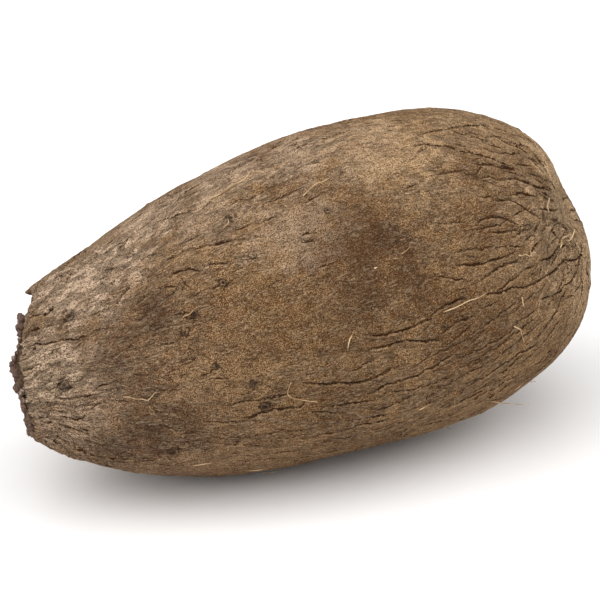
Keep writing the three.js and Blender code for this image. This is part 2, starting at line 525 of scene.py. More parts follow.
    def place_on_skin(self, along, round_deg):
        """The point of the CAD solid at a place written (along, round)."""
        angle = math.radians(round_deg)
        out = math.cos(angle) * self.up + math.sin(angle) * self.near
        origin = self.start + along * self.along
        return np.array(self.tree.ray_cast(Vector(origin), Vector(out))[0])

    def flow_place(self, along, round_deg):
        """The (flow, turn) of the form's point nearest to a place written (along, round)."""
        index = self.finder.find(Vector(self.place_on_skin(along, round_deg)))[1]
        row, column = divmod(index, FORM_COLUMNS)
        return row / FORM_ROWS, math.tau * column / FORM_COLUMNS

    def distance_from(self, along, round_deg, points):
        """How far each point is from a place written (along, round)."""
        return np.linalg.norm(points - self.place_on_skin(along, round_deg), axis=-1)

    def sample(self, table, flow, turn):
        """A table's value at flow and turn (arrays), between its rows and columns."""
        row = np.clip(flow, 0, 1) * FORM_ROWS
        column = (turn / math.tau) % 1 * FORM_COLUMNS
        row_below = np.minimum(row.astype(int), FORM_ROWS - 1)
        column_below = column.astype(int) % FORM_COLUMNS
        column_above = (column_below + 1) % FORM_COLUMNS
        down = (row - row_below)[:, None]
        right = (column - np.floor(column))[:, None]
        upper, lower = (
            table[row, column_below] * (1 - right) + table[row, column_above] * right
            for row in (row_below, row_below + 1)
        )
        return upper * (1 - down) + lower * down

    def points(self, flow, turn):
        return self.sample(self.table, flow, turn)

    def point(self, flow, turn):
        return self.points(np.array([flow]), np.array([turn]))[0]

    def outwards(self, flow, turn):
        return normalised(self.sample(self.normals, flow, turn))

    def radius_at(self, flow):
        return np.interp(flow, np.linspace(0, 1, FORM_ROWS + 1), self.ring_radius)


# ---- Cracks ----

class Cracks:
    """Jagged cracks that follow the skin's flow, kept as closely spaced points."""

    def __init__(self, form):
        self.form = form
        self.random = np.random.default_rng(SEED)
        self.parts = []    # each crack's points, ways across it, half widths and depths

    def add(self, places, width, depth, jaggedness=1):
        """Opens a crack through flow places, [(flow, turn), ...], tapering to both ends."""
        flows, turns = np.array(places).T
        turns = np.unwrap(turns)
        reached = travelled(self.form.points(flows, turns))
        length = reached[-1]
        count = max(int(length / CRACK_STEP), 4)
        at = np.linspace(0, length, count)
        flow = np.interp(at, reached, flows)
        turn = np.interp(at, reached, turns)
        radius = np.maximum(self.form.radius_at(flow), 1)
        down = np.gradient(flow) * self.form.row_length
        across = np.gradient(turn) * radius
        step = np.maximum(np.hypot(down, across), 1e-6)
        jag = jaggedness * self._jag(at, length)
        flow = np.clip(flow - jag * across / step / self.form.row_length, 0.01, 0.99)
        turn = turn + jag * down / step / radius
        points = self.form.points(flow, turn)
        tangents = normalised(np.gradient(points, axis=0))
        taper = np.clip(np.minimum(at, length - at) / min(CRACK_TAPER, length / 2), 0, 1) ** 0.7
        wander = 0.75 + 0.5 * self.random.random(count // 12 + 2)
        wander = np.interp(np.linspace(0, 1, count), np.linspace(0, 1, len(wander)), wander)
        self.parts.append((
            points,
            np.cross(self.form.outwards(flow, turn), tangents),
            width * (0.35 + 0.65 * taper) * wander,
            depth * taper * wander,
        ))

    def add_clear_part(self, places, width, depth, gap=CRACK_GAP, shortest=SHORTEST_CRACK):
        """Opens the longest part of a crack that keeps clear of the ones already there."""
        share = np.linspace(0, 1, 40)[:, None]
        route = (1 - share) * np.array(places[0]) + share * np.array(places[1])
        points = self.form.points(route[:, 0], route[:, 1])
        there = np.concatenate([part[0] for part in self.parts])[::4]
        apart = np.linalg.norm(points[:, None] - there[None], axis=2).min(axis=1)
        room = gap * self.form.radius_at(route[:, 0]) / self.form.ring_radius.max()
        clear = np.concatenate([[False], apart > np.maximum(room, 1.1), [False]])
        changes = np.flatnonzero(clear[1:] != clear[:-1])
        runs = list(zip(changes[::2], changes[1::2] - 1))
        if not runs:
            return
        first, last = max(runs, key=lambda run: run[1] - run[0])
        if np.linalg.norm(points[last] - points[first]) > shortest:
            self.add([route[first], route[last]], width, depth)

    def _jag(self, at, length):
        """The crack's sideways steps: straight runs between random knots at the JAG_SCALES."""
        total = np.zeros(len(at))
        for spacing, size in JAG_SCALES:
            knots = self.random.uniform(-size, size, int(length / spacing) + 3)
            total += np.interp(at / spacing, np.arange(len(knots)), knots)
        return total * np.clip(length / 12, 0.35, 1)

    def gather(self):
        """Joins the cracks, once all of them are open."""
        joined = (np.concatenate(values) for values in zip(*self.parts))
        self.points, self.sides, self.widths, self.depths = joined
        self.finder = finder_of(self.points)

    def nearest(self, points):
        """For each point: the way across the nearest crack, the offset that way from it, the
        distance, and the crack's width and depth."""
        found = [self.finder.find(p)[1:] for p in points]
        index = np.array([f[0] for f in found])
        distance = np.array([f[1] for f in found])
        offset = np.sum((points - self.points[index]) * self.sides[index], axis=1)
        return self.sides[index], offset, distance, self.widths[index], self.depths[index]


def lane_start(turn):
    """Where on the flow the lanes start: late where the cracks are listed one by one."""
    from_near = math.degrees(angle_between(turn, math.radians(LANE_NEAR_TURN)))
    return LANE_START - LANE_HEAD_START * ease(from_near, *LANE_NEAR_REACH)


def grow_lanes(cracks, form, draw):
    """Lanes of cracks, side by side round the tuber, each broken into cracks of many lengths."""
    lanes = round(math.tau * form.ring_radius.max() / LANE_SPACING)
    for lane in range(lanes):
        turn = math.tau * (lane + 0.5 * draw.random()) / lanes
        flow = lane_start(turn) + 0.08 * draw.normal()
        end = LANE_ENDS[lane % len(LANE_ENDS)]
        while flow < end:
            length = draw.uniform(*LANE_LENGTHS) + LANE_LONGER * draw.random() ** 2
            next_flow = min(flow + length / form.row_length, end + 0.01)
            sway = LANE_SPACING * 0.3 / form.radius_at((flow + next_flow) / 2)
            places = [(f, turn + sway * draw.normal()) for f in (flow, next_flow)]
            width, depth = LANE_WEAKEST + draw.random() ** 1.4 * LANE_STRONGER
            cracks.add_clear_part(places, width, depth)
            flow = next_flow + draw.uniform(*LANE_BREAKS) / form.row_length


def short_route(form, draw, flow, turn, lengths, sway):
    """The two ends of a crack that starts at a flow place and runs on along the flow."""
    length = draw.uniform(*lengths) / form.row_length
    return [(flow, turn), (flow + length, turn + sway * draw.normal())]


def grow_strays(cracks, form, draw):
    """Short cracks all over, but for the plain middle of the near side."""
    along, round_deg, radius = PLAIN_SKIN
    for _ in range(STRAY_CRACKS):
        flow = draw.uniform(*STRAY_FLOWS)
        turn = draw.uniform(0, math.tau)
        if form.distance_from(along, round_deg, form.point(flow, turn)) < radius:
            continue
        places = short_route(form, draw, flow, turn, STRAY_LENGTHS, 0.04)
        width, depth = draw.uniform(*STRAY_WIDTHS), draw.uniform(*STRAY_DEPTHS)
        cracks.add_clear_part(places, width, depth, SHORT_CRACK_GAP)


def grow_pucker(cracks, form, draw):
    """Short cracks at all angles round the pucker."""
    pucker_flow, pucker_turn = form.flow_place(*PUCKER)
    scale = np.array([form.row_length, form.radius_at(pucker_flow)])
    for _ in range(PUCKER_CRACKS):
        reach = PUCKER_REACH * draw.random() ** 0.7
        heading = draw.uniform(0, math.tau)
        length, slant = draw.uniform(*PUCKER_LENGTHS), draw.normal(0, 0.9)
        start = (pucker_flow, pucker_turn) + reach * unit_vector(heading) / scale
        places = [start, start + length * unit_vector(slant) / scale]
        width, depth = draw.uniform(*STRAY_WIDTHS), draw.uniform(*PUCKER_DEPTHS)
        cracks.add_clear_part(places, width, depth, PUCKER_GAP, SHORTEST_CRACK / 2)


def grow_neck(cracks, form, draw):
    """Short cracks, close together, round the stem end."""
    for _ in range(NECK_CRACKS):
        flow = NECK_START + NECK_REACH * draw.random() ** 1.5
        turn = draw.uniform(0, math.tau)
        places = short_route(form, draw, flow, turn, NECK_LENGTHS, 0.05)
        width, depth = draw.uniform(*NECK_WIDTHS), draw.uniform(*NECK_DEPTHS)
        cracks.add_clear_part(places, width, depth, SHORT_CRACK_GAP, 2)


def grow_cracks(form):
    """The main cracks, lanes of others between them, and short ones between those."""
    cracks = Cracks(form)
    for width, depth, *places in MAIN_CRACKS:
        cracks.add([form.flow_place(*place) for place in places], width, depth, MAIN_JAG)
    for grow in (grow_lanes, grow_strays, grow_pucker, grow_neck):
        grow(cracks, form, cracks.random)
    cracks.gather()
    return cracks


# ---- The tuber's mesh ----

def row_flows(form):
    """Where the mesh's rows lie: ROW_SPACING apart, and closer over the scar and the pucker."""
    flow = np.linspace(0, 1, 2001)
    closer = 1 + 1.3 * (1 - ease(flow, 0.13, 0.2)) + 0.9 * ease(flow, 0.88, 0.95)
    rows = np.concatenate([[0], np.cumsum(closer[1:])])
    count = round(closer.mean() * form.row_length / ROW_SPACING)
    return np.interp(np.arange(1, count), rows * count / rows[-1], flow)


def ring_columns(radius):
    columns = COLUMNS
    while columns > FEWEST_COLUMNS and math.tau * radius / columns < MIN_COLUMN_SPACING:
        columns //= 2
    return columns


def flow_mesh(form):
    """The skin's grid as a bmesh whose coordinates are (flow, cos turn, sin turn)."""
    bm = bmesh.new()
    rings = []
    for flow in row_flows(form):
        columns = ring_columns(form.radius_at(flow))
        turns = math.tau * np.arange(columns) / columns
        rings.append([bm.verts.new((flow, math.cos(t), math.sin(t))) for t in turns])
    for first, second in zip(rings, rings[1:]):
        if len(first) == len(second):
            join_alike(bm, first, second)
        elif len(first) < len(second):
            join_finer(bm, first, second, False)
        else:
            join_finer(bm, second, first, True)
    for flow, ring, flip in ((0, rings[0], True), (1, rings[-1], False)):
        pole = bm.verts.new((flow, 0, 0))
        for i, vertex in enumerate(ring):
            corners = (vertex, ring[(i + 1) % len(ring)], pole)
            bm.faces.new(corners[::-1] if flip else corners)
    return bm


def join_alike(bm, first, second):
    """Joins two rings that have as many points."""
    for i in range(len(first)):
        j = (i + 1) % len(first)
        bm.faces.new((first[i], first[j], second[j], second[i]))


def join_finer(bm, coarse, fine, flip):
    """Joins a ring to a neighbour that has twice its points."""
    for i, corner in enumerate(coarse):
        after = coarse[(i + 1) % len(coarse)]
        f0, f1, f2 = (fine[(2 * i + k) % len(fine)] for k in range(3))
        for corners in ((corner, f1, f0), (corner, after, f1), (after, f2, f1)):
            bm.faces.new(corners[::-1] if flip else corners)


def flow_and_turn(bm):
    co = np.array([v.co for v in bm.verts], dtype=float)
    return co[:, 0], np.arctan2(co[:, 2], co[:, 1]) % math.tau


def refine(bm, form, cracks, scars):
    """Halves the faces near cracks and root scars."""
    flow, turn = flow_and_turn(bm)
    points = form.points(flow, turn)
    _, _, distance, _, depth = cracks.nearest(points)
    near = (distance < REFINE_REACH) & (depth > REFINE_DEPTH)
    for middle, radius, _ in scars:
        near |= np.linalg.norm(points - middle, axis=1) < radius * 1.7
    bm.verts.index_update()
    faces = [f for f in bm.faces if len(f.verts) == 4 and any(near[v.index] for v in f.verts)]
    edges = {e for f in faces for e in f.edges}
    bmesh.ops.subdivide_edges(bm, edges=list(edges), cuts=1, use_grid_fill=True)
    bmesh.ops.triangulate(bm, faces=[f for f in bm.faces if len(f.verts) > 4])
    bm.verts.index_update()


# ---- The skin's relief ----

def grain_coordinates(form, flow, turn):
    """Millimetres along the flow and across it, in which the skin's grain has even stripes.

    Towards the poles the stripes draw together less than the rings shrink, so the grain
    stays fine there and still runs along the flow.
    """
    widest = form.ring_radius.max()
    radius = widest * (form.radius_at(flow) / widest) ** 0.35
    return np.stack([flow * form.row_length, radius * np.cos(turn), radius * np.sin(turn)], axis=1)


def place_root_scars(form, draw):
    scars = []
    for along, round_deg, radius in ROOT_SCARS:
        scars.append((*form.flow_place(along, round_deg), radius, draw.uniform(*PLACED_SCAR_STRENGTHS)))
    for _ in range(MORE_ROOT_SCARS):
        flow = draw.uniform(0.12, 0.95) ** 1.25
        turn = draw.uniform(0, math.tau)
        scars.append((flow, turn, draw.uniform(*MORE_SCAR_RADII), draw.uniform(*MORE_SCAR_STRENGTHS)))
    return [(form.point(flow, turn), radius, strength) for flow, turn, radius, strength in scars]


def patch_strength(form, patches, points, ragged):
    """How strongly a set of patches colours each point, with ragged edges."""
    total = np.zeros(len(points))
    for along, round_deg, radius, strength in patches:
        distance = form.distance_from(along, round_deg, points) / radius
        total = np.maximum(total, strength * (1 - ease(distance + 0.7 * ragged, 0.3, 1.5)))
    return total


def bump_round(turn, middle_deg, reach_deg):
    """A bump at one place round the tuber."""
    return bump_at(angle_between(turn, math.radians(middle_deg)), math.radians(reach_deg))


def rim_flow(form, turn):
    """Where on the flow the stem scar's rim lies, at each turn."""
    faces_stem = form.normals[:FORM_ROWS // 4] @ form.along < RIM_FACING
    rows = len(faces_stem) - np.argmax(faces_stem[::-1], axis=0)
    rim = np.fft.irfft(np.fft.rfft(rows)[:RIM_WAVES], n=FORM_COLUMNS) / FORM_ROWS
    columns = np.linspace(0, math.tau, FORM_COLUMNS, endpoint=False)
    return np.interp(turn, columns, rim, period=math.tau)


def distance_outside_rim(form, flow, turn):
    """Along the flow from the torn rim of the stem scar: negative on the scar's face."""
    middle, reach, over = OVERHANG
    circle = np.stack([np.cos(turn), np.sin(turn), 0 * turn], axis=1) * 14 / 3
    rim = (flow - rim_flow(form, turn)) * form.row_length
    return rim + 1.3 * layered_noise(circle, SEED + 13) + over * bump_round(turn, middle, reach)


def wrinkle_height(points, grain, warp, crinkled, rim):
    """Broad lumps and folds, wrinkles along the flow, and furrows near the stem."""
    lumps = 0.5 * layered_noise(points / 24, SEED, 3)
    folds = 0.3 * layered_noise(grain / (22, 4.2, 4.2), SEED + 1, 2)
    wrinkle = ridged_noise(grain / (4.2, 1.55, 1.55) + 0.35 * warp, SEED + 5)
    fine = noise(grain / (2.2, 0.9, 0.9) + 0.3 * warp, SEED + 6)
    furrows = ridged_noise(grain / (10, 2.6, 2.6) + 0.35 * warp, SEED + 14)
    height = lumps + folds + (0.1 + 0.4 * crinkled) * (wrinkle - 0.4) + (0.03 + 0.1 * crinkled) * fine
    return height + 0.8 * (1 - ease(rim, 8, 50)) * (0.4 - furrows)


def pucker_ridges(form, flow, turn):
    """Ridges that draw together at the pucker."""
    to_end = (1 - flow) * form.row_length
    ridges = noise(np.stack([3.2 * np.cos(turn), 3.2 * np.sin(turn), to_end / 9], axis=1), SEED + 8)
    return (1 - ease(to_end, 6, 26)) * ease(to_end, 1, 7) * 0.3 * ridges


def crack_depth(offset, distance, width, depth):
    """How deep the cracks cut: a groove with a lip curled up along each side."""
    ends = bump_at(np.sqrt(np.maximum(distance ** 2 - offset ** 2, 0)), 0.7)
    groove = 0.75 * bump_at(offset, 1.3 * width) + 0.25 * bump_at(offset, 0.7)
    curl = 0.1 * bump_at(offset - 0.8, 0.4) + 0.3 * bump_at(offset + 0.75, 0.4)
    return 0.7 * depth * ends * (groove - curl)


def nearest_root_scar(points, scars):
    """Each point's distance from the nearest root scar, in its radii, and its strength."""
    to_scar = np.full(len(points), 3.0)
    strength = np.zeros(len(points))
    uneven = 0.55 * layered_noise(points / 1.8, SEED + 15, 2)
    for middle, size, scar_strength in scars:
        apart = np.linalg.norm(points - middle, axis=1) / size + uneven
        nearer = apart < to_scar
        to_scar[nearer] = apart[nearer]
        strength[nearer] = scar_strength
    return to_scar, strength


def root_scar_height(to_scar):
    """A raised ring round a pit, in a shallow moat."""
    ring = 0.6 * bump_at(to_scar - 0.6, 0.35) - 0.8 * bump_at(to_scar, 0.35)
    return ring - 0.3 * bump_at(to_scar - 1.2, 0.25)


def stem_lip(points, turn, radius, rim):
    """How far the skin stands out towards the stem: the rim, its crust, notch and tears."""
    lip = bump_at(rim - 0.3, 2.2) * (0.4 + 0.6 * layered_noise(points / 5.5, SEED + 11, 2))
    lip -= 0.8 * bump_at(rim + 0.9, 0.7)
    crust = sum(size * bump_round(turn, middle, reach) for middle, size, reach in CRUST)
    lip += crust * (1 + 0.3 * noise(points / 3, SEED + 16)) * bump_at(rim + CRUST_PLACE, 2.8)
    middle, reach, deep = NOTCH
    bay = bump_round(turn, middle, reach) * ease(radius, 3, 12)
    lip -= deep * bay * ease(rim, NOTCH_REACH, NOTCH_REACH / 3)
    for middle, place, size, reach in RIM_TEARS:
        sideways = angle_between(turn, math.radians(middle)) * np.maximum(radius, 12)
        lip += size * bump_at(np.hypot(sideways, rim - place), reach)
    return lip


def shape_skin(form, flow, turn, cracks, scars):
    """Each point's final position, and the values that the skin's material reads."""
    points = form.points(flow, turn)
    grain = grain_coordinates(form, flow, turn)
    warp = np.stack([layered_noise(grain / 5, SEED + i, 2) for i in (2, 3, 4)], axis=1)
    ragged = layered_noise(points / 6, SEED + 12, 3, 0.6)
    patches = 0.6 * ease(noise(points / 26, SEED + 7), 0.05, 0.55)
    crinkled = np.maximum(patches, patch_strength(form, CRINKLED_PATCHES, points, ragged))
    rim = distance_outside_rim(form, flow, turn)
    scar_face = 1 - ease(rim, -0.8, 0.6)
    swelling = sum(size * bump_at(form.distance_from(along, round_deg, points), reach)
                   for along, round_deg, reach, size in SWELLINGS)

    height = wrinkle_height(points, grain, warp, crinkled, rim) + pucker_ridges(form, flow, turn)
    knots = ridged_noise(points / 4.2 + 0.3 * warp, SEED + 9)
    puckered = 1 - ease(form.distance_from(*PUCKER, points), *PUCKER_EDGE)
    height += puckered * (0.25 - 0.8 * knots)

    # The corners nearest to a crack are moved sideways onto its line.
    across, offset, distance, width, depth = cracks.nearest(points)
    onto_line = np.where((np.abs(offset) < SNAP_REACH) & (distance < 0.5), offset, 0)
    points = points - across * onto_line[:, None]
    offset = offset - onto_line
    height -= crack_depth(offset, distance, width, depth)
    to_scar, strength = nearest_root_scar(points, scars)
    height += strength * root_scar_height(to_scar)

    # The stem scar's face is rough, and its rim stands out towards the stem.
    tissue = layered_noise(points / 3.6, SEED + 10, 2, 0.5)
    calm = 1 - 0.7 * scar_face
    height = height * calm + scar_face * (1.1 * tissue - 0.3)
    placed = points + form.outwards(flow, turn) * (height + swelling * calm)[:, None]
    placed -= form.along * stem_lip(points, turn, form.radius_at(flow), rim)[:, None]
    placed[:, 2] = np.maximum(placed[:, 2], 0)

    tone = [patch_strength(form, patches, points, ragged)
            for patches in (PALE_AND_PAINTED_LIGHT_PATCHES, DARK_PATCHES, DEEP_PATCHES)]
    return placed, {
        "grain": grain,
        "crack": np.stack([offset, distance, width * np.clip(depth / 0.5, 0, 1)], axis=1),
        "tone": np.stack(tone, axis=1),
        "scar": np.stack([to_scar, puckered * knots, strength], axis=1),
        "relief": np.stack([height / 0.5, crinkled, rim], axis=1),
    }


# ---- The pieces ----

def add_object(name, data):
    """Puts a mesh, camera or lamp in the scene as an object of its own."""
    made = bpy.data.objects.new(name, data)
    bpy.context.scene.collection.objects.link(made)
    return made


def mesh_of(bm, name, material):
    mesh = bpy.data.meshes.new(name)
    bm.to_mesh(mesh)
    bm.free()
    mesh.materials.append(material)
    mesh.shade_smooth()
    return mesh


def tuber_piece(form, cracks, scars, material):
    bm = flow_mesh(form)
    refine(bm, form, cracks, scars)
    flow, turn = flow_and_turn(bm)
    places, values = shape_skin(form, flow, turn, cracks, scars)
    add_flow_map(bm, flow, turn)
    mesh = mesh_of(bm, "tuber", material)
    mesh.vertices.foreach_set("co", (places * MM).ravel())
    for name, vectors in values.items():
        attribute = mesh.attributes.new(name, "FLOAT_VECTOR", "POINT")
        attribute.data.foreach_set("vector", vectors.astype(np.float32).ravel())
    mesh.update()
    return add_object("tuber", mesh)


def hair_path(form, places, lift, draw):
    """Points along a root hair: close to the skin at its start, and lifting to its end."""
    share = np.linspace(0, 1, HAIR_STEPS)
    at = np.linspace(0, 1, len(places))
    alongs = np.interp(share, at, [p[0] for p in places])
    rounds = np.interp(share, at, [p[1] for p in places])
    for _ in range(2):
        alongs[1:-1] = (alongs[:-2] + 2 * alongs[1:-1] + alongs[2:]) / 4
        rounds[1:-1] = (rounds[:-2] + 2 * rounds[1:-1] + rounds[2:]) / 4
    points = np.array([form.place_on_skin(a, r) for a, r in zip(alongs, rounds)])
    away = normalised(points - (form.start + np.outer(alongs, form.along)))
    length = np.linalg.norm(points[-1] - points[0])
    sideways = np.cross(away, points[-1] - points[0]) / max(length, 1e-6)
    sway = np.interp(share, np.linspace(0, 1, 5), draw.normal(0, 0.05 * length, 5))
    rise = 0.4 + 0.18 * np.sin(math.pi * share) + lift * share ** 1.6
    return points + away * rise[:, None] + sideways * sway[:, None]


def add_tube(bm, path, radius):
    """A closed tube along a path, thinning to its far end."""
    tangents = normalised(np.gradient(path, axis=0))
    side = np.cross(tangents[0], (0.3, 0.5, 0.8))
    rings = []
    for i, (point, tangent) in enumerate(zip(path, tangents)):
        side = normalised(side - (side @ tangent) * tangent)
        other = np.cross(tangent, side)
        size = radius * (0.85 - 0.5 * (i / (len(path) - 1)) ** 2)
        ring = []
        for k in range(HAIR_SIDES):
            angle = math.tau * k / HAIR_SIDES
            corner = point + size * (math.cos(angle) * side + math.sin(angle) * other)
            ring.append(bm.verts.new(corner * MM))
        rings.append(ring)
    for first, second in zip(rings, rings[1:]):
        join_alike(bm, first, second)
    bm.faces.new(rings[0][::-1])
    bm.faces.new(rings[-1])


def root_hairs_piece(form, material):
    draw = np.random.default_rng(SEED + 1)
    bm = bmesh.new()
    for radius, lift, *places in ROOT_HAIRS:
        add_tube(bm, hair_path(form, places, lift, draw), radius)
    for _ in range(MORE_ROOT_HAIRS):
        along = draw.uniform(14, 0.93 * form.length)
        round_deg = draw.uniform(*FAR_SIDE)
        length = draw.uniform(*HAIR_LENGTHS) + HAIR_LONGER * draw.random() ** 4
        heading = draw.normal(0, 0.7)
        end = (along + length * math.cos(heading), round_deg + length * math.sin(heading))
        if form.place_on_skin(along, round_deg)[2] < LOWEST_HAIR:
            continue
        path = hair_path(form, [(along, round_deg), end], draw.uniform(*HAIR_LIFTS), draw)
        add_tube(bm, path, draw.uniform(*HAIR_RADII))
    bmesh.ops.recalc_face_normals(bm, faces=bm.faces)
    return add_object("root_hairs", mesh_of(bm, "root_hairs", material))


def scabs_piece(form, material):
    """The dried lumps round the rim of the stem scar."""
    bm = bmesh.new()
    for i, (turn_deg, inside, out, size) in enumerate(SCABS):
        turn = np.array([math.radians(turn_deg)])
        flow = rim_flow(form, turn) - inside / form.row_length
        middle = form.points(flow, turn) + 0.2 * size * form.outwards(flow, turn) - out * form.along
        made = bmesh.ops.create_icosphere(bm, subdivisions=4, radius=1)["verts"]
        unit = np.array([v.co for v in made])
        swell = 1 + 0.35 * layered_noise(unit * 1.2 + 7 * i, SEED + 20, 3, 0.6)
        lump = middle + unit * swell[:, None] * size * (0.85, 1, 1.15)
        lump[:, 2] = np.maximum(lump[:, 2], 0)
        for vertex, corner in zip(made, lump):
            vertex.co = corner * MM
    bmesh.ops.recalc_face_normals(bm, faces=bm.faces)
    return add_object("stem_scabs", mesh_of(bm, "stem_scabs", material))


def add_flow_map(bm, flow, turn):
    """The UV map named OFBake: round the tuber by along its flow."""
    layer = bm.loops.layers.uv.new("OFBake")
    share = turn / math.tau
    for face in bm.faces:
        across = [share[v.index] for v in face.verts if 0 < flow[v.index] < 1]
        seam = max(across) - min(across) > 0.5
        unwrapped = [a + 1 if seam and a < 0.5 else a for a in across]
        middle = sum(unwrapped) / len(unwrapped)
        for loop in face.loops:
            index = loop.vert.index
            u = share[index] + (1 if seam and share[index] < 0.5 else 0)
            if not 0 < flow[index] < 1:
                u = middle
            loop[layer].uv = (u, flow[index])


# ---- Materials ----

class Nodes:
    """A node tree, built with short calls. Values may be sockets or numbers."""

    def __init__(self, tree):
        self.tree = tree

    def feed(self, socket, value):
        if isinstance(value, bpy.types.NodeSocket):
            self.tree.links.new(value, socket)
        else:
            socket.default_value = value

    def node(self, kind, inputs, output=0, **settings):
        node = self.tree.nodes.new("ShaderNode" + kind)
        for name, value in settings.items():
            setattr(node, name, value)
        for key, value in inputs.items():
            self.feed(node.inputs[key], value)
        return node.outputs[output]

    def maths(self, operation, a, b=0.0, clamp=False):
        return self.node("Math", {0: a, 1: b}, operation=operation, use_clamp=clamp)

    def plus(self, a, b):
        return self.maths("ADD", a, b)

    def minus(self, a, b):
        return self.maths("SUBTRACT", a, b)

    def times(self, first, *others):
        for other in others:
            first = self.maths("MULTIPLY", first, other)
        return first

    def ease(self, value, start, end, low=0.0, high=1.0):
        return self.node("MapRange", {"Value": value, "From Min": start, "From Max": end,
                                      "To Min": low, "To Max": high},
                         interpolation_type="SMOOTHSTEP")


class Shader(Nodes):
    """A material, whose colour and bumps are built up in layers."""

    def __init__(self, name):
        self.material = bpy.data.materials.new(name)
        self.material.use_nodes = True
        super().__init__(self.material.node_tree)
        self.surface = self.tree.nodes["Principled BSDF"]

    def place(self):
        """The place on the object, in millimetres."""
        return self.node("VectorMath", {0: self.node("TexCoord", {}, "Object"), 1: (1 / MM,) * 3},
                         operation="MULTIPLY")

    def attribute(self, name):
        """The vector that the mesh keeps under this name, and its three values."""
        vector = self.node("Attribute", {}, "Vector", attribute_name=name)
        split = self.tree.nodes.new("ShaderNodeSeparateXYZ")
        self.feed(split.inputs[0], vector)
        return vector, *split.outputs

    def noise(self, vector, stretch, detail=2.0, roughness=0.5, distortion=0.0):
        """Noise from 0 to 1 with one bump in each stretch of millimetres (along, across)."""
        along, across = stretch
        scaled = self.node("VectorMath", {0: vector, 1: (1 / along, 1 / across, 1 / across)},
                           operation="MULTIPLY")
        return self.node("TexNoise", {"Vector": scaled, "Scale": 1.0, "Detail": detail,
                                      "Roughness": roughness, "Distortion": distortion})

    def mix(self, factor, a, b):
        return self.node("Mix", {0: factor, 6: a, 7: b}, 2, data_type="RGBA")

    def tint(self, amount, colour):
        self.colour = self.mix(amount, self.colour, colour)

    def coat(self, colour, roughness, specular):
        self.feed(self.surface.inputs["Base Color"], colour)
        self.feed(self.surface.inputs["Roughness"], roughness)
        self.feed(self.surface.inputs["Specular IOR Level"], specular)

    def bump(self, height, size, strength):
        normal = self.node("Bump", {"Height": height, "Distance": size * MM, "Strength": strength})
        self.feed(self.surface.inputs["Normal"], normal)


